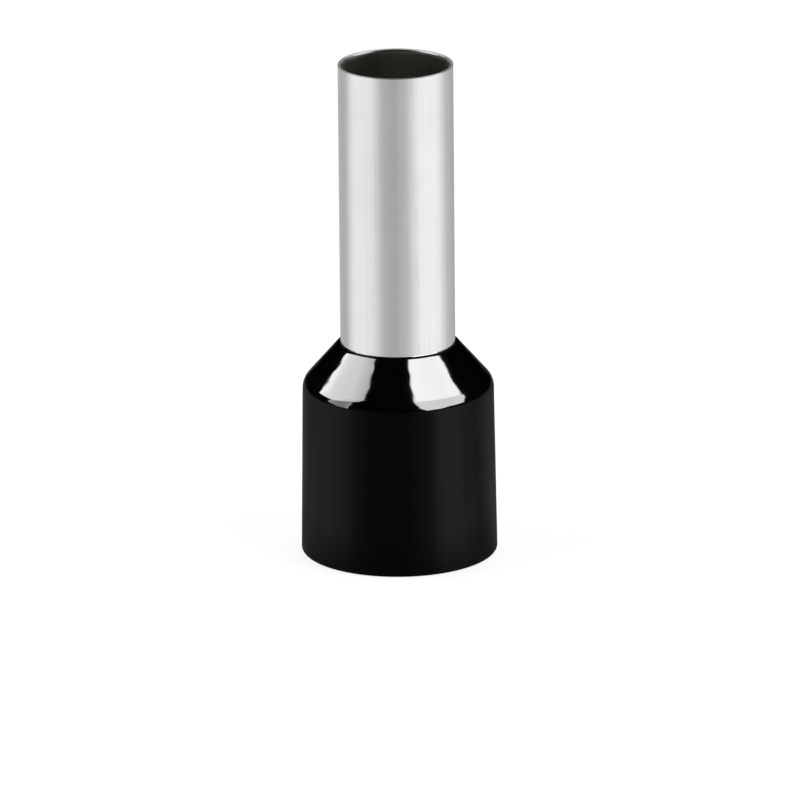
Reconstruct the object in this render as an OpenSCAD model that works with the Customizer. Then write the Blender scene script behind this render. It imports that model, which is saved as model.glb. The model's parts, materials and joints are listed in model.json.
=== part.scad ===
// Wire ferrule with an insulating collar: a plated copper tube that takes the stripped strands
// of a wire, and a collar that takes the end of the wire's insulation.
// The frame's origin is the centre of the collar's mouth. +Z runs up the axis to the tube's tip.

/* [Metal sleeve] */
// Outside diameter of the sleeve
sleeve_od = 3.2; // [2.8:0.1:3.6]
// Thickness of the sleeve's metal
sleeve_wall = 0.16; // [0.12:0.01:0.2]
// Length of bare sleeve that stands out of the collar
pin_length = 8; // [6:0.5:12]
// Rounding of the tip's outside edge
tip_outer_round = 0.02; // [0.02:0.01:0.06]
// Rounding of the tip's inside edge
tip_inner_round = 0.13; // [0.04:0.01:0.13]
// Radius of the sleeve's outside where it bends into the bell
bell_bend = 0.2; // [0.1:0.05:0.25]
// Radial gap between the bell's rim and the start of the collar's inner shoulder
bell_gap = 0.07; // [0.02:0.01:0.2]
// Rounding of the bell's two end edges
bell_end_round = 0.03; // [0.01:0.01:0.05]

/* [Insulating collar] */
// Length of the collar from its mouth to its neck
collar_length = 6.05; // [5:0.05:9]
// Outside diameter of the collar just below its shoulder
collar_od = 5.33; // [5:0.01:6.5]
// Distance that the skirt's outside flares on each side, from the shoulder to the mouth
skirt_flare = 0.08; // [0:0.01:0.1]
// Thickness of the collar's wall at the cone and the shoulder
collar_wall = 0.25; // [0.2:0.01:0.3]
// Angle between the collar's cone and the axis
cone_angle = 41; // [36:0.5:46]
// Rounding of the shoulder between cone and skirt
shoulder_round = 0.5; // [0.3:0.05:0.8]
// Width of the flat end of the neck around the sleeve
neck_land = 0.07; // [0.07:0.01:0.1]
// Rounding of the neck's outside edge
neck_round = 0.13; // [0.04:0.01:0.13]
// Rounding of the mouth's outside edge
mouth_round = 0.12; // [0.06:0.01:0.14]
// Width of the bevel that leads the wire into the mouth
mouth_bevel = 0.12; // [0.05:0.01:0.15]

/* [Hidden] */

collar_colour = [0.03, 0.03, 0.03];
sleeve_colour = [0.80, 0.79, 0.76];

// Flat steps that stand for one rounded corner, and for a full turn in the preview
arc_steps = 10;
turn_steps = 128;

sleeve_r = sleeve_od / 2;
wire_bore_r = sleeve_r - sleeve_wall;
tip_z = collar_length + pin_length;

// The tip's two roundings share one wall, so the inner one is limited by what the outer one leaves
tip_inner_fit = min(tip_inner_round, sleeve_wall - tip_outer_round - 0.01);

neck_r = sleeve_r + neck_land;
shoulder_r = collar_od / 2;
mouth_r = shoulder_r + skirt_flare;
skirt_bore_r = shoulder_r - collar_wall;

// The collar's cone keeps one wall thickness, so its inner face is the outer one moved inwards.
// Each face is a straight line, given by the radius that it would reach at the neck's end.
cone_slope = tan(cone_angle);
inner_cone_r = neck_r - collar_wall / cos(cone_angle);
bell_bore_r = inner_cone_r - sleeve_wall / cos(cone_angle);

// The inner shoulder's rounding is smaller by one wall. The bell stops short of where it starts.
inner_shoulder_round = shoulder_round - collar_wall;
seat_end_r = skirt_bore_r - inner_shoulder_round * tan(cone_angle / 2) * sin(cone_angle);
bell_r = seat_end_r - bell_gap;

// The step across the bell's wall, square to its cone, from the inside to the outside
across_bell = sleeve_wall * [cos(cone_angle), sin(cone_angle)];

// Height at which a cone face reaches a radius, from the radius it has at the neck's end
function cone_z(r, neck_end_r) = collar_length - (r - neck_end_r) / cone_slope;

function unit(v) = v / norm(v);

// One corner [r, z, round] of an outline, as the points of its arc between two neighbours
function corner_arc(before, corner, after) =
    let (
        tip = [corner[0], corner[1]],
        back = unit([before[0], before[1]] - tip),
        ahead = unit([after[0], after[1]] - tip),
        half = acos(back * ahead) / 2,
        reach = corner[2] / tan(half),
        start = tip + reach * back,
        centre = tip + unit(back + ahead) * corner[2] / sin(half),
        side = sign(cross(ahead, back)),
        sweep = side * (180 - 2 * half)
    )
    corner[2] == 0
        ? [tip]
        : [for (step = [0:arc_steps]) centre + turned(start - centre, sweep * step / arc_steps)];

function turned(v, angle) = [
    v[0] * cos(angle) - v[1] * sin(angle),
    v[0] * sin(angle) + v[1] * cos(angle)
];

// A closed outline with each of its corners [r, z, round] rounded
function rounded(corners) =
    let (count = len(corners))
    [
        for (i = [0:count - 1])
            each corner_arc(corners[(i + count - 1) % count], corners[i], corners[(i + 1) % count])
    ];

// A turned or moulded piece: an outline of half its section, spun about the axis
module spun(corners) {
    rotate_extrude($fn = turn_steps)
        polygon(rounded(corners));
}

// The corner that both pieces share, where the sleeve bends away into its bell
seat_corner = [sleeve_r, cone_z(sleeve_r, inner_cone_r), bell_bend];

module insulating_collar() {
    color(collar_colour)
        spun([
            [mouth_r, 0, mouth_round],
            [shoulder_r, cone_z(shoulder_r, neck_r), shoulder_round],
            [neck_r, collar_length, neck_round],
            [sleeve_r, collar_length, 0],
            seat_corner,
            [skirt_bore_r, cone_z(skirt_bore_r, inner_cone_r), inner_shoulder_round],
            [skirt_bore_r, mouth_bevel, 0],
            [skirt_bore_r + mouth_bevel, 0, 0]
        ]);
}

module metal_sleeve() {
    bell_rim = [bell_r, cone_z(bell_r, inner_cone_r)];
    bell_inner_rim = bell_rim - across_bell;
    color(sleeve_colour)
        spun([
            [sleeve_r, tip_z, tip_outer_round],
            [wire_bore_r, tip_z, tip_inner_fit],
            [wire_bore_r, cone_z(wire_bore_r, bell_bore_r), bell_bend + sleeve_wall],
            [bell_inner_rim[0], bell_inner_rim[1], bell_end_round],
            [bell_rim[0], bell_rim[1], bell_end_round],
            seat_corner
        ]);
}

insulating_collar();
metal_sleeve();
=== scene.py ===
"""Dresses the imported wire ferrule: a tin-plated sleeve and its black moulded collar, on a pale floor.

The file is laid out as a Blender add-on and is run as a script. Lengths are in metres, in the
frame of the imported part: the collar's mouth is centred on the origin and +Z runs to the tip.
"""

import json
import math

import bpy
from bpy.props import FloatProperty, FloatVectorProperty, PointerProperty
from mathutils import Matrix, Vector, noise


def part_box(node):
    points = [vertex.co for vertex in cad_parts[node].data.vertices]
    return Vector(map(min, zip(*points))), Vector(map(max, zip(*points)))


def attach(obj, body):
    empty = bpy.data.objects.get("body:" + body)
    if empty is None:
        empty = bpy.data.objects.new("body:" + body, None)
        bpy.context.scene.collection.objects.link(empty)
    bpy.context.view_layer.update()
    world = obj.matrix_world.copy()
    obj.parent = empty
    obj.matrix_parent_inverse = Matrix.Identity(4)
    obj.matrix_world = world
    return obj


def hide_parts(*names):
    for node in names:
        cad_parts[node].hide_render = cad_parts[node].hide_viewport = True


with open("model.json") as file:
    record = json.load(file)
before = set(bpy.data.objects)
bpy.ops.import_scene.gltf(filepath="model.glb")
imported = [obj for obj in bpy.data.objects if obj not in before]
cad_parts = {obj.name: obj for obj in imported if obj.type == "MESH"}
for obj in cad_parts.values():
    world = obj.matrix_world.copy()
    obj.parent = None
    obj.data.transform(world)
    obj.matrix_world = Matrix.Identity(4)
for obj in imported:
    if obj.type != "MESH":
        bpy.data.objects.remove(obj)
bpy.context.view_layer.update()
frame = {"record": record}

bl_info = {
    "name": "Wire Ferrule",
    "version": (1, 0, 0),
    "blender": (4, 5, 0),
    "location": "View3D > Sidebar > Ferrule",
    "description": "Builds a wire ferrule's plated sleeve, its moulded collar and a small studio",
    "category": "Add Mesh",
}

MM = 0.001
MOUNTS = {mount["name"]: mount for mount in frame["record"]["mounts"]}


def mount_radius(name):
    """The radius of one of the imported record's round mounts, in metres."""
    return MOUNTS[name]["dims"]["r_mm"] * MM


COLLAR_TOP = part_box("insulating_collar")[1][2]
BELL_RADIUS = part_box("metal_sleeve")[1][0]
TIP_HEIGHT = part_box("metal_sleeve")[1][2]

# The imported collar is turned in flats, so its box is a little narrower on one side than on the
# others. The smoother mouth here takes the narrowest, to stay inside the box all round.
MOUTH_RADIUS = min(abs(corner[axis]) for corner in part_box("insulating_collar") for axis in (0, 1))


# ---------------------------------------------------------------- settings


def length(name, description, default):
    """A length in metres."""
    return FloatProperty(
        name=name, description=description, default=default, min=0, unit="LENGTH", precision=5
    )


def angle(name, description, degrees):
    """An angle, given in degrees and held in radians."""
    return FloatProperty(
        name=name, description=description, default=math.radians(degrees), subtype="ANGLE"
    )


def amount(name, description, default):
    """A plain number, zero or more."""
    return FloatProperty(name=name, description=description, default=default, min=0)


def colour(name, description, default):
    """A linear colour without alpha."""
    return FloatVectorProperty(
        name=name, description=description, default=default, size=3, min=0, max=1, subtype="COLOR"
    )


class SleeveSettings(bpy.types.PropertyGroup):
    """Sizes and colours of the plated sleeve"""

    radius: length("Radius", "Outside radius of the sleeve", mount_radius("pin"))
    bore: length("Bore radius", "Radius of the bore for the strands", mount_radius("wire_bore"))
    tip_outer_round: length("Tip outside", "Rounding of the tip's outside edge", 0.02 * MM)
    tip_inner_round: length("Tip inside", "Rounding of the tip's inside edge", 0.13 * MM)
    bell_bend: length("Bell bend", "Radius of the bend into the bell", 0.2 * MM)
    bell_end_round: length("Bell end", "Rounding of the bell's end edges", 0.03 * MM)
    plate: colour("Tin plate", "Colour of the tin plating", (0.79, 0.79, 0.788))
    shade: colour("Dull plate", "Colour of the plating where it is duller", (0.73, 0.73, 0.725))
    # The bore's darker, olive colour is painted shade inside the tube
    inside: colour("Bore", "Colour of the dull, dark bore", (0.46, 0.46, 0.39))


class CollarSettings(bpy.types.PropertyGroup):
    """Sizes and colours of the moulded collar"""

    shoulder: length("Shoulder radius", "Outside radius below the shoulder", 2.665 * MM)
    bore: length("Bore radius", "Radius of the skirt's bore", mount_radius("insulation_bore"))
    wall: length("Wall", "Thickness of the wall at the cone", 0.25 * MM)
    neck_land: length("Neck land", "Width of the neck's end, rounding included", 0.07 * MM)
    neck_round: length("Neck round", "Rounding of the neck's outside edge", 0.13 * MM)
    cone: angle("Cone angle", "Angle between the cone and the axis", 41)
    shoulder_round: length("Shoulder round", "Rounding between cone and skirt", 0.5 * MM)
    mouth_round: length("Mouth round", "Rounding of the mouth's outside edge", 0.12 * MM)
    mouth_bevel: length("Mouth bevel", "Width of the bevel inside the mouth", 0.12 * MM)
    ripple: length("Ripple", "Height of the soft ripple's waves on the cone", 0.011 * MM)
    ripple_size: length("Ripple size", "Width of one wave of the ripple", 0.4 * MM)
    ripple_place: amount("Ripple place", "Moves the ripple to another place on the skin", 14)
    plastic: colour("Plastic", "Colour of the black plastic", (0.0008, 0.0008, 0.0008))
    scuffed: colour("Scuffed plastic", "Colour of rubbed plastic", (0.004, 0.004, 0.004))


class StudioSettings(bpy.types.PropertyGroup):
    """The camera, the floor and the glow that lies on it"""

    elevation: angle("Elevation", "Angle of the camera above the floor", 17.2)
    roll: angle("Roll", "Lean of the camera", -0.5)
    distance: length("Distance", "From the camera to the object", 0.3)
    lens: amount("Lens", "Focal length in millimetres", 484.3)
    aim_height: length("Aim height", "Height that the camera looks at", 4.325 * MM)
    aim_aside: length("Aim aside", "Distance to the right that the camera looks at", 0.046 * MM)
    floor_size: length("Floor size", "Side of the square floor", 1.6)
    floor_colour: colour("Floor", "Colour of the pale floor", (0.93, 0.93, 0.93))
    glow_reach: length("Glow reach", "How far the glow on the floor reaches to each side", 60 * MM)


# ---------------------------------------------------------------- outlines and meshes

# Steps in one rounded corner, and in a full turn
ARC_STEPS = 14
TURN_STEPS = 224

# Distance from each end of a straight run to the extra point that holds the smooth shading there
HOLD = 0.012 * MM

# Longest steps along a straight run. The collar's are short enough to carry its ripple.
COLLAR_STEP = 0.08 * MM
SLEEVE_STEP = 0.3 * MM

# Roundings of the neck's inner edge and of the bevel's two edges inside the mouth
NECK_EDGE = 0.004 * MM
BEVEL_EDGE = 0.02 * MM

# Stations of the collar's outline (0 is the mouth's outer edge, 1 the shoulder and 2 the neck's
# end) between which the ripple rises, then deepens from the skirt to the cone, then dies away
RIPPLE_RISES = (0.02, 0.15)
RIPPLE_DEEPENS = (0.9, 1.1)
RIPPLE_FALLS = (1.85, 1.98)

# Share of the ripple's depth that the skirt has
SKIRT_RIPPLE = 0.25


def corner_arc(before, corner, after):
    """The points of one rounded corner (radius, height, rounding) between its neighbours."""
    tip = Vector(corner[:2])
    rounding = corner[2]
    if rounding == 0:
        return [tip]
    back = (Vector(before[:2]) - tip).normalized()
    ahead = (Vector(after[:2]) - tip).normalized()
    half = back.angle(ahead) / 2
    start = tip + back * rounding / math.tan(half)
    centre = tip + (back + ahead).normalized() * rounding / math.sin(half)
    side = math.copysign(1, ahead.x * back.y - ahead.y * back.x)
    sweep = side * (math.pi - 2 * half)
    arm = start - centre
    turns = (Matrix.Rotation(sweep * step / ARC_STEPS, 2) for step in range(ARC_STEPS + 1))
    return [centre + turn @ arm for turn in turns]


def straight_shares(run, step):
    """Shares along a straight run: one close to each end to hold the shading, the rest even."""
    if run < 3 * HOLD:
        return []
    count = max(1, round(run / step))
    held = HOLD / run
    inner = [index / count for index in range(1, count) if held < index / count < 1 - held]
    return [held] + inner + [1 - held]


def outline(corners, step):
    """A closed half-section with rounded corners. Each point also has its station: the number
    of its corner, or a share of the way from one corner's number to the next."""
    arcs = [
        corner_arc(corners[index - 1], corner, corners[(index + 1) % len(corners)])
        for index, corner in enumerate(corners)
    ]
    section = []
    for index, arc in enumerate(arcs):
        following = arcs[(index + 1) % len(arcs)]
        section += [(point, index) for point in arc]
        for share in straight_shares((following[0] - arc[-1]).length, step):
            section.append((arc[-1].lerp(following[0], share), index + share))
    return section


def spin(name, section, relief=None):
    """A mesh object turned from a half-section, with each vertex moved outwards by its relief."""
    verts = []
    for turn in range(TURN_STEPS):
        theta = math.tau * turn / TURN_STEPS
        out = Vector((math.cos(theta), math.sin(theta), 0))
        for point, station in section:
            place = out * point.x + Vector((0, 0, point.y))
            if relief:
                place += out * relief(place, station)
            verts.append(place)
    count = len(section)
    faces = []
    for turn in range(TURN_STEPS):
        here, there = turn * count, (turn + 1) % TURN_STEPS * count
        for index in range(count):
            following = (index + 1) % count
            faces.append((here + index, there + index, there + following, here + following))
    mesh = bpy.data.meshes.new(name)
    mesh.from_pydata(verts, [], faces)
    mesh.validate()
    mesh.polygons.foreach_set("use_smooth", [True] * len(mesh.polygons))
    mesh.update()
    piece = bpy.data.objects.new(name, mesh)
    bpy.context.scene.collection.objects.link(piece)
    return piece


def eased(value, low, high):
    """0 below low and 1 above high, with a smooth step between them."""
    share = min(1, max(0, (value - low) / (high - low)))
    return share * share * (3 - 2 * share)


def cone_height(radius, radius_at_neck, slope):
    """Height at which a face of the cone reaches a radius."""
    return COLLAR_TOP - (radius - radius_at_neck) / slope


# ---------------------------------------------------------------- materials

# Sockets of a Mix node that mixes colours. They go by number, because each name is used for
# several data types.
MIX_A = 6
MIX_B = 7
MIX_RESULT = 2

# Most of a noise texture's values lie between these, and are spread to fill 0 to 1
NOISE_VALUES = {"From Min": 0.3, "From Max": 0.7}

# The plating: its drawn lines, its patches, its roughness and the depth of its lines
PLATE_LINES = {"Lines": 26.0, "Drift": 90.0}
PLATE_PATCHES = {"Scale": 900.0}
PLATE_ROUGHNESS = {"To Min": 0.15, "To Max": 0.23}
PLATE_RELIEF = {"Strength": 0.25, "Distance": 0.0006 * MM}

# The dull bore, its colour darkened as painted shade inside the tube, and how far outside its
# wall it ends and the bright plate starts
BORE_ROUGHNESS = 0.55
BORE_END = 0.01 * MM
PLATE_START = 0.05 * MM

# The plastic: its gloss, its roughness, its slow unevenness, its fine grain, the depth of the
# grain, and the largest share that the rubbed colour has
PLASTIC_GLOSS = {"IOR": 1.49, "Specular IOR Level": 0.5}
PLASTIC_ROUGHNESS = {"To Min": 0.05, "To Max": 0.08}
PLASTIC_SKIN = {"Scale": 1400.0}
PLASTIC_GRAIN = {"Scale": 9000.0}
PLASTIC_RELIEF = {"Strength": 0.15, "Distance": 0.001 * MM}
MOST_RUBBED = 0.12


def new_material(name):
    """A material with an empty node tree, and what is needed to fill it."""
    material = bpy.data.materials.new(name)
    material.use_nodes = True
    nodes = material.node_tree.nodes
    nodes.clear()
    output = nodes.new("ShaderNodeOutputMaterial")
    return material, nodes, material.node_tree.links, output


def add_node(nodes, kind, values=None, **settings):
    """A node with its properties set by keyword and its input sockets by name."""
    node = nodes.new(kind)
    for key, value in settings.items():
        setattr(node, key, value)
    for key, value in (values or {}).items():
        node.inputs[key].default_value = value
    return node


def new_group(name, inputs):
    """An empty shader node group with named number inputs and one output, Value."""
    group = bpy.data.node_groups.new(name, "ShaderNodeTree")
    kind = "NodeSocketFloat"
    for label, default in inputs.items():
        socket = group.interface.new_socket(name=label, in_out="INPUT", socket_type=kind)
        socket.default_value = default
    group.interface.new_socket(name="Value", in_out="OUTPUT", socket_type=kind)
    entry = group.nodes.new("NodeGroupInput")
    leaving = group.nodes.new("NodeGroupOutput")
    return group, group.nodes, group.links, entry, leaving


def soft_mottle_group():
    """Slow, seamless variation over a surface, from 0 to 1: unevenness in a skin or a plating."""
    if "soft_mottle" in bpy.data.node_groups:
        return bpy.data.node_groups["soft_mottle"]
    inputs = {"Scale": 1000.0, "Detail": 3.0}
    group, nodes, links, entry, leaving = new_group("soft_mottle", inputs)
    place = add_node(nodes, "ShaderNodeTexCoord")
    cloud = add_node(nodes, "ShaderNodeTexNoise", {"Roughness": 0.5})
    spread = add_node(nodes, "ShaderNodeMapRange", NOISE_VALUES)
    links.new(place.outputs["Object"], cloud.inputs["Vector"])
    links.new(entry.outputs["Scale"], cloud.inputs["Scale"])
    links.new(entry.outputs["Detail"], cloud.inputs["Detail"])
    links.new(cloud.outputs["Fac"], spread.inputs["Value"])
    links.new(spread.outputs["Result"], leaving.inputs["Value"])
    return group


def axial_lines_group():
    """Fine lines along the axis, from 0 to 1, as a drawing die leaves them. Lines sets how many
    go round, and Drift how much they change in each metre of length."""
    if "axial_lines" in bpy.data.node_groups:
        return bpy.data.node_groups["axial_lines"]
    inputs = {"Lines": 40.0, "Drift": 60.0}
    group, nodes, links, entry, leaving = new_group("axial_lines", inputs)
    place = add_node(nodes, "ShaderNodeTexCoord")
    flat = add_node(nodes, "ShaderNodeVectorMath", {1: (1, 1, 0)}, operation="MULTIPLY")
    around = add_node(nodes, "ShaderNodeVectorMath", operation="NORMALIZE")
    wrapped = add_node(nodes, "ShaderNodeVectorMath", operation="SCALE")
    along = add_node(nodes, "ShaderNodeVectorMath", {1: (0, 0, 1)}, operation="MULTIPLY")
    drifted = add_node(nodes, "ShaderNodeVectorMath", operation="SCALE")
    joined = add_node(nodes, "ShaderNodeVectorMath", operation="ADD")
    lines = add_node(nodes, "ShaderNodeTexNoise", {"Scale": 1.0, "Detail": 4.0, "Roughness": 0.6})
    spread = add_node(nodes, "ShaderNodeMapRange", NOISE_VALUES)
    links.new(place.outputs["Object"], flat.inputs[0])
    links.new(flat.outputs["Vector"], around.inputs[0])
    links.new(around.outputs["Vector"], wrapped.inputs[0])
    links.new(entry.outputs["Lines"], wrapped.inputs["Scale"])
    links.new(place.outputs["Object"], along.inputs[0])
    links.new(along.outputs["Vector"], drifted.inputs[0])
    links.new(entry.outputs["Drift"], drifted.inputs["Scale"])
    links.new(wrapped.outputs["Vector"], joined.inputs[0])
    links.new(drifted.outputs["Vector"], joined.inputs[1])
    links.new(joined.outputs["Vector"], lines.inputs["Vector"])
    links.new(lines.outputs["Fac"], spread.inputs["Value"])
    links.new(spread.outputs["Result"], leaving.inputs["Value"])
    return group


def tin_plate_material(settings):
    """Bright tin over drawn copper: soft reflections, fine axial lines, slight dull patches, and
    a dull bore, whose darker, olive colour is painted shade inside the tube."""
    material, nodes, links, output = new_material("tin_plate")
    shader = add_node(nodes, "ShaderNodeBsdfPrincipled", {"Metallic": 1.0})
    group = axial_lines_group()
    lines = add_node(nodes, "ShaderNodeGroup", PLATE_LINES, node_tree=group, label="Drawn lines")
    group = soft_mottle_group()
    mottle = add_node(nodes, "ShaderNodeGroup", PLATE_PATCHES, node_tree=group, label="Plating")
    tones = {MIX_A: (*settings.plate, 1), MIX_B: (*settings.shade, 1)}
    tint = add_node(nodes, "ShaderNodeMix", tones, data_type="RGBA")
    dull = add_node(nodes, "ShaderNodeMath", operation="MULTIPLY")
    gloss = add_node(nodes, "ShaderNodeMapRange", PLATE_ROUGHNESS)
    relief = add_node(nodes, "ShaderNodeBump", PLATE_RELIEF)
    place = add_node(nodes, "ShaderNodeTexCoord")
    flat = add_node(nodes, "ShaderNodeVectorMath", {1: (1, 1, 0)}, operation="MULTIPLY")
    radius = add_node(nodes, "ShaderNodeVectorMath", operation="LENGTH")
    wall = {"From Min": settings.bore + BORE_END, "From Max": settings.bore + PLATE_START}
    outside = add_node(nodes, "ShaderNodeMapRange", wall)
    # The bore's colour, mixed in by radius, is painted shade inside the tube
    inside = {MIX_A: (*settings.inside, 1)}
    bore_shade_or_plate = add_node(nodes, "ShaderNodeMix", inside, data_type="RGBA", label="Bore or plate")
    rough = {"A": BORE_ROUGHNESS}
    dullness = add_node(nodes, "ShaderNodeMix", rough, label="Dull bore or bright plate")
    links.new(lines.outputs["Value"], dull.inputs[0])
    links.new(mottle.outputs["Value"], dull.inputs[1])
    links.new(dull.outputs["Value"], tint.inputs["Factor"])
    links.new(dull.outputs["Value"], gloss.inputs["Value"])
    links.new(lines.outputs["Value"], relief.inputs["Height"])
    links.new(place.outputs["Object"], flat.inputs[0])
    links.new(flat.outputs["Vector"], radius.inputs[0])
    links.new(radius.outputs["Value"], outside.inputs["Value"])
    links.new(outside.outputs["Result"], bore_shade_or_plate.inputs["Factor"])
    links.new(tint.outputs[MIX_RESULT], bore_shade_or_plate.inputs[MIX_B])
    links.new(outside.outputs["Result"], dullness.inputs["Factor"])
    links.new(gloss.outputs["Result"], dullness.inputs["B"])
    links.new(bore_shade_or_plate.outputs[MIX_RESULT], shader.inputs["Base Color"])
    links.new(dullness.outputs["Result"], shader.inputs["Roughness"])
    links.new(relief.outputs["Normal"], shader.inputs["Normal"])
    links.new(shader.outputs["BSDF"], output.inputs["Surface"])
    return material


def black_plastic_material(settings):
    """Black moulded plastic with a soft gloss, a faintly uneven skin and slightly rubbed spots."""
    material, nodes, links, output = new_material("black_plastic")
    shader = add_node(nodes, "ShaderNodeBsdfPrincipled", PLASTIC_GLOSS)
    group = soft_mottle_group()
    skin = add_node(nodes, "ShaderNodeGroup", PLASTIC_SKIN, node_tree=group, label="Skin")
    grain = add_node(nodes, "ShaderNodeGroup", PLASTIC_GRAIN, node_tree=group, label="Grain")
    tones = {MIX_A: (*settings.plastic, 1), MIX_B: (*settings.scuffed, 1)}
    tint = add_node(nodes, "ShaderNodeMix", tones, data_type="RGBA")
    rubbed = add_node(nodes, "ShaderNodeMath", operation="MULTIPLY")
    rubbed_little = add_node(nodes, "ShaderNodeMath", {1: MOST_RUBBED}, operation="MULTIPLY")
    gloss = add_node(nodes, "ShaderNodeMapRange", PLASTIC_ROUGHNESS)
    relief = add_node(nodes, "ShaderNodeBump", PLASTIC_RELIEF)
    links.new(skin.outputs["Value"], rubbed.inputs[0])
    links.new(grain.outputs["Value"], rubbed.inputs[1])
    links.new(rubbed.outputs["Value"], rubbed_little.inputs[0])
    links.new(rubbed_little.outputs["Value"], tint.inputs["Factor"])
    links.new(skin.outputs["Value"], gloss.inputs["Value"])
    links.new(grain.outputs["Value"], relief.inputs["Height"])
    links.new(tint.outputs[MIX_RESULT], shader.inputs["Base Color"])
    links.new(gloss.outputs["Result"], shader.inputs["Roughness"])
    links.new(relief.outputs["Normal"], shader.inputs["Normal"])
    links.new(shader.outputs["BSDF"], output.inputs["Surface"])
    return material


# ---------------------------------------------------------------- the pieces


class FERRULE_OT_collar(bpy.types.Operator):
    """Build the moulded insulating collar"""

    bl_idname = "ferrule.collar"
    bl_label = "Build Collar"

    def execute(self, context):
        settings = context.scene.ferrule_collar
        sleeve = context.scene.ferrule_sleeve
        slope = math.tan(settings.cone)
        neck = sleeve.radius + settings.neck_land
        inner_neck = neck - settings.wall / math.cos(settings.cone)
        inner_round = settings.shoulder_round - settings.wall
        shoulder_height = cone_height(settings.shoulder, neck, slope)
        flare = (MOUTH_RADIUS - settings.shoulder) / shoulder_height
        corners = [
            (MOUTH_RADIUS + settings.mouth_round * flare, 0, settings.mouth_round),
            (settings.shoulder, shoulder_height, settings.shoulder_round),
            (neck, COLLAR_TOP, settings.neck_round),
            (sleeve.radius, COLLAR_TOP, NECK_EDGE),
            (sleeve.radius, cone_height(sleeve.radius, inner_neck, slope), sleeve.bell_bend),
            (settings.bore, cone_height(settings.bore, inner_neck, slope), inner_round),
            (settings.bore, settings.mouth_bevel, BEVEL_EDGE),
            (settings.bore + settings.mouth_bevel, 0, BEVEL_EDGE),
        ]

        def ripple(place, station):
            outside = eased(station, *RIPPLE_RISES) * (1 - eased(station, *RIPPLE_FALLS))
            share = SKIRT_RIPPLE + (1 - SKIRT_RIPPLE) * eased(station, *RIPPLE_DEEPENS)
            depth = settings.ripple * outside * share
            shift = Vector((0, 0, settings.ripple_place))
            return depth / 2 * noise.noise(place / settings.ripple_size + shift)

        piece = spin("moulded_collar", outline(corners, COLLAR_STEP), ripple)
        piece.data.materials.append(black_plastic_material(settings))
        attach(piece, "root")
        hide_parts("insulating_collar")
        lit_group("collar_lit").objects.link(piece)
        return {"FINISHED"}


class FERRULE_OT_sleeve(bpy.types.Operator):
    """Build the plated sleeve with its belled lower end"""

    bl_idname = "ferrule.sleeve"
    bl_label = "Build Sleeve"

    def execute(self, context):
        settings = context.scene.ferrule_sleeve
        collar = context.scene.ferrule_collar
        slope = math.tan(collar.cone)
        wall = settings.radius - settings.bore
        neck = settings.radius + collar.neck_land
        inner_neck = neck - collar.wall / math.cos(collar.cone)
        bell_neck = inner_neck - wall / math.cos(collar.cone)
        rim = Vector((BELL_RADIUS, cone_height(BELL_RADIUS, inner_neck, slope)))
        inner_rim = rim - wall * Vector((math.cos(collar.cone), math.sin(collar.cone)))
        bend_inside = cone_height(settings.bore, bell_neck, slope)
        bend_outside = cone_height(settings.radius, inner_neck, slope)
        corners = [
            (settings.radius, TIP_HEIGHT, settings.tip_outer_round),
            (settings.bore, TIP_HEIGHT, settings.tip_inner_round),
            (settings.bore, bend_inside, settings.bell_bend + wall),
            (inner_rim.x, inner_rim.y, settings.bell_end_round),
            (rim.x, rim.y, settings.bell_end_round),
            (settings.radius, bend_outside, settings.bell_bend),
        ]
        piece = spin("plated_sleeve", outline(corners, SLEEVE_STEP))
        piece.data.materials.append(tin_plate_material(settings))
        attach(piece, "root")
        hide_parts("metal_sleeve")
        lit_group("sleeve_lit").objects.link(piece)
        return {"FINISHED"}


# ---------------------------------------------------------------- the studio
#
# A glossy collar and a bright tube show little but what they mirror, so most of the studio is
# made for reflections: windows and a glow on the floor for the collar, and a dome of bands and
# the floor's sheen for the sleeve. None of these adds light or shade, but the glow on the floor
# is dimmed near the mouth, a painted shadow of the part in the collar's reflections.
#
# Where a list gives strengths, it holds pairs of an azimuth and a strength. Azimuths are in
# degrees from the front, to the right.


def mirrored(right):
    """The strengths for all round, from those of the right half."""
    return [(-azimuth, strength) for azimuth, strength in reversed(right)] + right


# The floor: the share of it that is plain white to the camera, the share of its sheen in the
# sleeve, and the sheen's strengths
WHITE_SHARE = 0.8
SHEEN_SHARE = 0.96
SHEEN = [
    (-180, 0.5),
    (-127, 0.49),
    (-88, 1.02),
    (-56, 0.99),
    (-20, 0.5),
    (-5, 0.46),
    (10, 0.535),
    (52, 1.1),
    (80, 1.11),
    (126, 0.55),
    (150, 0.44),
    (180, 0.45),
]

# The glow on the floor, as the collar mirrors it: its height, the point that its azimuths are
# taken round, the share of its strengths that is left at the mouth, how far from the mouth it has
# all of them, and the strengths. The dimming towards the mouth is a painted shadow of the part.
GLOW_HEIGHT = 0.01 * MM
GLOW_MIDDLE = (0, -MOUTH_RADIUS / 2, 0)
GLOW_SHARE_IN_PAINTED_SHADOW = 0.3
PAINTED_SHADOW_REACH = 4 * MM
GLOW = [
    (-180, 0.02),
    (-131, 0.055),
    (-109, 0.14),
    (-86, 0.215),
    (-65, 0.175),
    (-50, 0.045),
    (-30, 0),
    (10, 0),
    (33, 0.055),
    (55, 0.30),
    (72, 0.29),
    (87, 0.18),
    (103, 0.09),
    (122, 0.10),
    (147, 0.03),
    (180, 0.02),
]

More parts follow.
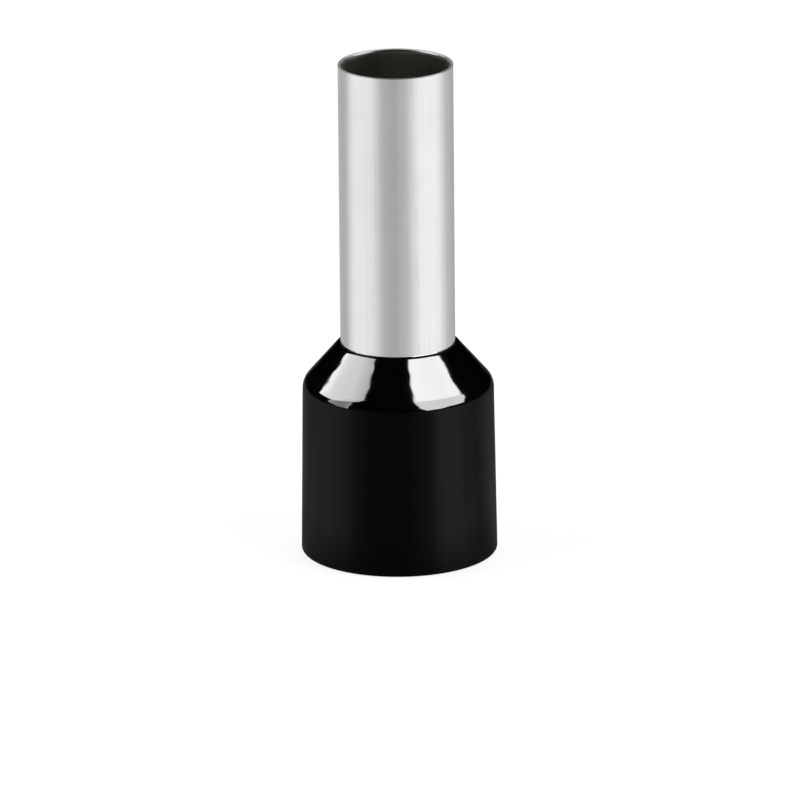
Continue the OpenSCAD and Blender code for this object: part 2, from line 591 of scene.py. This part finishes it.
# The dome: its radius, its sides, and for each band the name, the elevations of its rims and
# the strengths. It is dark in front and brighter at the sides and behind.
DOME_RADIUS = 0.25
DOME_SIDES = 96
PLINTH = mirrored([(50, 0.12), (75, 0.4), (96, 0.7), (116, 0.02), (180, 0.02)])
RAIL = mirrored(
    [(50, 0.12), (75, 0.4), (96, 0.7), (116, 0.04), (140, 0.04), (165, 0.25), (180, 0.35)]
)
WALLS = mirrored(
    [
        (50, 0.08),
        (70, 0.3),
        (92, 0.7),
        (112, 0.12),
        (138, 0.12),
        (157, 0.6),
        (170, 0.9),
        (180, 0.5),
    ]
)
EAVES = mirrored([(50, 0.05), (70, 0.25), (95, 1.0), (150, 1.0), (170, 0.8), (180, 0.3)])
ROOF = [(0, 0.006)]
BANDS = [
    ("booth_plinth", (0, 7, 14), PLINTH),
    ("booth_rail", (14, 23, 32), RAIL),
    ("booth_walls", (32, 38, 44), WALLS),
    ("booth_eaves", (44, 54, 64), EAVES),
    ("booth_roof", (64, 73, 82, 90), ROOF),
]

# The windows stand in pairs, one behind the other. Their corners are pairs of an azimuth and an
# elevation, seen from a point on the axis at WINDOW_CENTRE.
WINDOW_CENTRE = 5 * MM
NEAR = 0.12
FAR = 0.2
LEFT = [
    (-115, 19),
    (-98, 19),
    (-87, 20),
    (-78, 28),
    (-66, 37),
    (-60, 44),
    (-60, 59),
    (-85, 58),
    (-112, 47),
    (-115, 35),
    (-121, 28),
]
LEFT_LOW = [(-92, 6), (-80, -1), (-70, -4), (-61, -4), (-61, 20), (-63, 34), (-92, 32)]
RIGHT = [(32, 59), (62, 53), (83, 46), (101, 39), (97, 45), (97, 56), (65, 66), (33, 69)]
RIGHT_LOW = [
    (26, 47),
    (27, 18),
    (34, 0),
    (51, 2),
    (63, 6),
    (84, 6),
    (86, 15),
    (100, 37),
    (98, 44),
    (65, 62),
    (31, 66),
]
LEFT_TONES = [(-118, 15), (-112, 13), (-100, 13.3), (-85, 14), (-72, 12), (-60, 10)]
LEFT_LOW_TONES = [(-92, 6), (-80, 4), (-68, 4), (-60, 7)]
WINDOWS = [
    ("window_left", LEFT, NEAR, LEFT_TONES),
    ("window_left_low", LEFT_LOW, FAR, LEFT_LOW_TONES),
    ("window_right", RIGHT, NEAR, [(31, 23), (96, 20)]),
    ("window_right_low", RIGHT_LOW, FAR, [(31, 16), (98, 14)]),
]

# The soft lamps that light the pieces: name, azimuth, elevation and power in watts. All are
# equally far and equally wide.
LAMP_DISTANCE = 0.2
LAMP_WIDTH = 0.14
LAMPS = [
    ("lamp_left", -85, 45, 0.22),
    ("lamp_right", 60, 50, 0.22),
    ("lamp_back", 170, 60, 0.16),
]

# Even light from all round, and the nearest and farthest that the camera sees
AMBIENT = 0.35
CLIP_START = 0.01
CLIP_END = 10


def direction(azimuth, elevation):
    """Unit vector towards an azimuth, from the front to the right, and an elevation."""
    turn = math.radians(azimuth)
    rise = math.radians(elevation)
    flat = math.cos(rise)
    return Vector((math.sin(turn) * flat, -math.cos(turn) * flat, math.sin(rise)))


def azimuth_glow(nodes, links, glow, stops, middle=(0, 0, 0)):
    """Lets an emission change with the azimuth round a middle, through a list of strengths. A
    list of one is the same all round."""
    strongest = max(strength for azimuth, strength in stops)
    glow.inputs["Strength"].default_value = strongest
    if len(stops) == 1:
        return
    place = add_node(nodes, "ShaderNodeNewGeometry")
    moved = add_node(nodes, "ShaderNodeVectorMath", {1: middle}, operation="SUBTRACT")
    split = add_node(nodes, "ShaderNodeSeparateXYZ")
    front = add_node(nodes, "ShaderNodeMath", {1: -1.0}, operation="MULTIPLY")
    turn = add_node(nodes, "ShaderNodeMath", operation="ARCTAN2")
    share = add_node(nodes, "ShaderNodeMapRange", {"From Min": -math.pi, "From Max": math.pi})
    tone = add_node(nodes, "ShaderNodeValToRGB")
    tone.color_ramp.interpolation = "EASE"
    elements = tone.color_ramp.elements
    # A new ramp has two stops already, and they take the first two strengths
    for index, (azimuth, strength) in enumerate(stops):
        position = (azimuth + 180) / 360
        stop = elements[index] if index < 2 else elements.new(position)
        stop.position = position
        stop.color = (*[strength / strongest] * 3, 1)
    links.new(place.outputs["Position"], moved.inputs[0])
    links.new(moved.outputs["Vector"], split.inputs[0])
    links.new(split.outputs["Y"], front.inputs[0])
    links.new(split.outputs["X"], turn.inputs[0])
    links.new(front.outputs["Value"], turn.inputs[1])
    links.new(turn.outputs["Value"], share.inputs["Value"])
    links.new(share.outputs["Result"], tone.inputs["Fac"])
    links.new(tone.outputs["Color"], glow.inputs["Color"])


def glow_material(name, stops):
    """A plain glow whose strength changes with the azimuth."""
    material, nodes, links, output = new_material(name)
    glow = add_node(nodes, "ShaderNodeEmission")
    links.new(glow.outputs["Emission"], output.inputs["Surface"])
    azimuth_glow(nodes, links, glow, stops)
    return material


def lit_group(name):
    """The collection of pieces that a stage object is made for. No other piece mirrors it."""
    if name not in bpy.data.collections:
        bpy.data.collections.new(name)
    return bpy.data.collections[name]


def reflected_only(thing):
    """Leaves a stage object to be seen in reflections alone, so that it adds no light or shade."""
    thing.visible_camera = False
    thing.visible_diffuse = False
    thing.visible_transmission = False
    thing.visible_shadow = False
    thing.visible_volume_scatter = False


def stage_mesh(name, verts, faces, material):
    """A mesh object of the studio."""
    mesh = bpy.data.meshes.new(name)
    mesh.from_pydata(verts, [], faces)
    mesh.update()
    thing = bpy.data.objects.new(name, mesh)
    bpy.context.scene.collection.objects.link(thing)
    thing.data.materials.append(material)
    return thing


def softbox(name, corners, distance, stops):
    """A bright window that is seen in the collar."""
    centre = Vector((0, 0, WINDOW_CENTRE))
    verts = [centre + direction(*corner) * distance for corner in corners]
    box = stage_mesh(name, verts, [tuple(range(len(verts)))], glow_material(name, stops))
    box.light_linking.receiver_collection = lit_group("collar_lit")
    reflected_only(box)


def band(name, tilts, stops):
    """A band of the dome, with rims at its tilts in degrees, that is seen in the sleeve."""
    rims = []
    for tilt in tilts:
        rise = math.radians(tilt)
        rims.append((DOME_RADIUS * math.cos(rise), DOME_RADIUS * math.sin(rise)))
    tiers = len(rims)
    verts = []
    for step in range(DOME_SIDES + 1):
        out = direction(360 * step / DOME_SIDES, 0)
        verts += [out * radius + Vector((0, 0, height)) for radius, height in rims]
    faces = []
    for step in range(DOME_SIDES):
        here, there = step * tiers, (step + 1) * tiers
        for tier in range(tiers - 1):
            faces.append((here + tier, here + tier + 1, there + tier + 1, there + tier))
    wall = stage_mesh(name, verts, faces, glow_material(name, stops))
    wall.light_linking.receiver_collection = lit_group("sleeve_lit")
    reflected_only(wall)


def soft_lamp(name, azimuth, elevation, power):
    """A round soft lamp that faces the origin and isn't seen itself."""
    data = bpy.data.lights.new(name, "AREA")
    data.shape = "DISK"
    data.size = LAMP_WIDTH
    data.energy = power
    lamp = bpy.data.objects.new(name, data)
    bpy.context.scene.collection.objects.link(lamp)
    lamp.location = direction(azimuth, elevation) * LAMP_DISTANCE
    lamp.rotation_mode = "QUATERNION"
    lamp.rotation_quaternion = lamp.location.to_track_quat("Z", "Y")
    lamp.visible_camera = False
    lamp.visible_glossy = False


def table_glow(settings):
    """A glow that lies on the floor and is seen only in the collar's reflections, dimmed towards the
    mouth as a painted shadow of the part. Its power is such that each strength is a plain brightness."""
    data = bpy.data.lights.new("table_glow", "AREA")
    data.size = 2 * settings.glow_reach
    data.energy = math.pi * data.size ** 2
    data.use_nodes = True
    nodes, links = data.node_tree.nodes, data.node_tree.links
    glow = nodes["Emission"]
    azimuth_glow(nodes, links, glow, GLOW, GLOW_MIDDLE)
    strongest = glow.inputs["Strength"].default_value
    place = add_node(nodes, "ShaderNodeNewGeometry")
    reach = add_node(nodes, "ShaderNodeVectorMath", operation="LENGTH")
    # The glow is dimmed towards the mouth: a painted shadow of the part
    shading = {
        "From Min": MOUTH_RADIUS,
        "From Max": MOUTH_RADIUS + PAINTED_SHADOW_REACH,
        "To Min": GLOW_SHARE_IN_PAINTED_SHADOW * strongest,
        "To Max": strongest,
    }
    shaded = add_node(nodes, "ShaderNodeMapRange", shading)
    links.new(place.outputs["Position"], reach.inputs[0])
    links.new(reach.outputs["Value"], shaded.inputs["Value"])
    links.new(shaded.outputs["Result"], glow.inputs["Strength"])
    lamp = bpy.data.objects.new("table_glow", data)
    bpy.context.scene.collection.objects.link(lamp)
    lamp.location = (0, 0, GLOW_HEIGHT)
    lamp.rotation_euler = (math.pi, 0, 0)
    lamp.visible_camera = False
    lamp.visible_diffuse = False
    lamp.light_linking.receiver_collection = lit_group("collar_lit")


def floor_material(settings):
    """Pale floor: plain white to the camera but for a share of real shading, which shows a soft
    shadow, a sheen in the sleeve's reflections, and nothing at all from below."""
    material, nodes, links, output = new_material("pale_floor")
    paint = add_node(nodes, "ShaderNodeBsdfDiffuse")
    paint.inputs["Color"].default_value = (*settings.floor_colour, 1)
    white = add_node(nodes, "ShaderNodeEmission", {"Strength": 1.0})
    sheen = add_node(nodes, "ShaderNodeEmission")
    azimuth_glow(nodes, links, sheen, SHEEN)
    rays = add_node(nodes, "ShaderNodeLightPath")
    seen_share = add_node(nodes, "ShaderNodeMath", {1: WHITE_SHARE}, operation="MULTIPLY")
    mirrored_share = add_node(nodes, "ShaderNodeMath", {1: SHEEN_SHARE}, operation="MULTIPLY")
    seen = add_node(nodes, "ShaderNodeMixShader", label="Seen by the camera")
    reflected = add_node(nodes, "ShaderNodeMixShader", label="Seen in metal and gloss")
    side = add_node(nodes, "ShaderNodeNewGeometry")
    clear = add_node(nodes, "ShaderNodeBsdfTransparent")
    one_sided = add_node(nodes, "ShaderNodeMixShader", label="Clear from below")
    links.new(rays.outputs["Is Camera Ray"], seen_share.inputs[0])
    links.new(rays.outputs["Is Glossy Ray"], mirrored_share.inputs[0])
    links.new(seen_share.outputs["Value"], seen.inputs["Fac"])
    links.new(paint.outputs["BSDF"], seen.inputs[1])
    links.new(white.outputs["Emission"], seen.inputs[2])
    links.new(mirrored_share.outputs["Value"], reflected.inputs["Fac"])
    links.new(seen.outputs["Shader"], reflected.inputs[1])
    links.new(sheen.outputs["Emission"], reflected.inputs[2])
    links.new(side.outputs["Backfacing"], one_sided.inputs["Fac"])
    links.new(reflected.outputs["Shader"], one_sided.inputs[1])
    links.new(clear.outputs["BSDF"], one_sided.inputs[2])
    links.new(one_sided.outputs["Shader"], output.inputs["Surface"])
    return material


def light_world():
    """White behind everything that is seen, and a low even light from all round."""
    world = bpy.data.worlds.new("studio")
    bpy.context.scene.world = world
    world.use_nodes = True
    nodes, links = world.node_tree.nodes, world.node_tree.links
    nodes.clear()
    output = nodes.new("ShaderNodeOutputWorld")
    rays = add_node(nodes, "ShaderNodeLightPath")
    seen = add_node(nodes, "ShaderNodeMath", operation="MAXIMUM")
    even = {"Color": (1, 1, 1, 1), "Strength": AMBIENT}
    ambient = add_node(nodes, "ShaderNodeBackground", even)
    plain = {"Color": (1, 1, 1, 1), "Strength": 1.0}
    white = add_node(nodes, "ShaderNodeBackground", plain)
    blend = add_node(nodes, "ShaderNodeMixShader")
    links.new(rays.outputs["Is Camera Ray"], seen.inputs[0])
    links.new(rays.outputs["Is Glossy Ray"], seen.inputs[1])
    links.new(seen.outputs["Value"], blend.inputs["Fac"])
    links.new(ambient.outputs["Background"], blend.inputs[1])
    links.new(white.outputs["Background"], blend.inputs[2])
    links.new(blend.outputs["Shader"], output.inputs["Surface"])


class FERRULE_OT_studio(bpy.types.Operator):
    """Set the camera, the pale floor, the soft lamps and what the pieces mirror"""

    bl_idname = "ferrule.studio"
    bl_label = "Set Studio"

    def execute(self, context):
        settings = context.scene.ferrule_studio
        scene = context.scene
        scene.view_settings.view_transform = "Standard"

        data = bpy.data.cameras.new("camera")
        data.lens = settings.lens
        data.clip_start = CLIP_START
        data.clip_end = CLIP_END
        camera = bpy.data.objects.new("camera", data)
        scene.collection.objects.link(camera)
        aim = Vector((settings.aim_aside, 0, settings.aim_height))
        back = direction(0, math.degrees(settings.elevation))
        camera.location = aim + back * settings.distance
        look = back.to_track_quat("Z", "Y").to_matrix()
        camera.rotation_euler = (look @ Matrix.Rotation(settings.roll, 3, "Z")).to_euler()
        scene.camera = camera

        half = settings.floor_size / 2
        verts = [(-half, -half, 0), (half, -half, 0), (half, half, 0), (-half, half, 0)]
        floor = stage_mesh("floor", verts, [(0, 1, 2, 3)], floor_material(settings))
        floor.light_linking.receiver_collection = lit_group("sleeve_lit")

        light_world()
        for name, azimuth, elevation, power in LAMPS:
            soft_lamp(name, azimuth, elevation, power)
        for name, tilts, stops in BANDS:
            band(name, tilts, stops)
        for name, corners, distance, stops in WINDOWS:
            softbox(name, corners, distance, stops)
        table_glow(settings)
        return {"FINISHED"}


class FERRULE_PT_sidebar(bpy.types.Panel):
    """Lists the ferrule's settings and its operators"""

    bl_idname = "FERRULE_PT_sidebar"
    bl_label = "Wire Ferrule"
    bl_space_type = "VIEW_3D"
    bl_region_type = "UI"
    bl_category = "Ferrule"

    def draw(self, context):
        for holder, operator in (
            ("ferrule_studio", "ferrule.studio"),
            ("ferrule_collar", "ferrule.collar"),
            ("ferrule_sleeve", "ferrule.sleeve"),
        ):
            settings = getattr(context.scene, holder)
            box = self.layout.box()
            for name in settings.bl_rna.properties.keys():
                if name not in ("rna_type", "name"):
                    box.prop(settings, name)
            box.operator(operator)


CLASSES = (
    SleeveSettings,
    CollarSettings,
    StudioSettings,
    FERRULE_OT_collar,
    FERRULE_OT_sleeve,
    FERRULE_OT_studio,
    FERRULE_PT_sidebar,
)


def register():
    for cls in CLASSES:
        bpy.utils.register_class(cls)
    bpy.types.Scene.ferrule_sleeve = PointerProperty(type=SleeveSettings)
    bpy.types.Scene.ferrule_collar = PointerProperty(type=CollarSettings)
    bpy.types.Scene.ferrule_studio = PointerProperty(type=StudioSettings)


def unregister():
    del bpy.types.Scene.ferrule_studio
    del bpy.types.Scene.ferrule_collar
    del bpy.types.Scene.ferrule_sleeve
    for cls in reversed(CLASSES):
        bpy.utils.unregister_class(cls)


def main():
    register()
    bpy.ops.ferrule.studio()
    bpy.ops.ferrule.collar()
    bpy.ops.ferrule.sleeve()


if __name__ == "__main__":
    main()
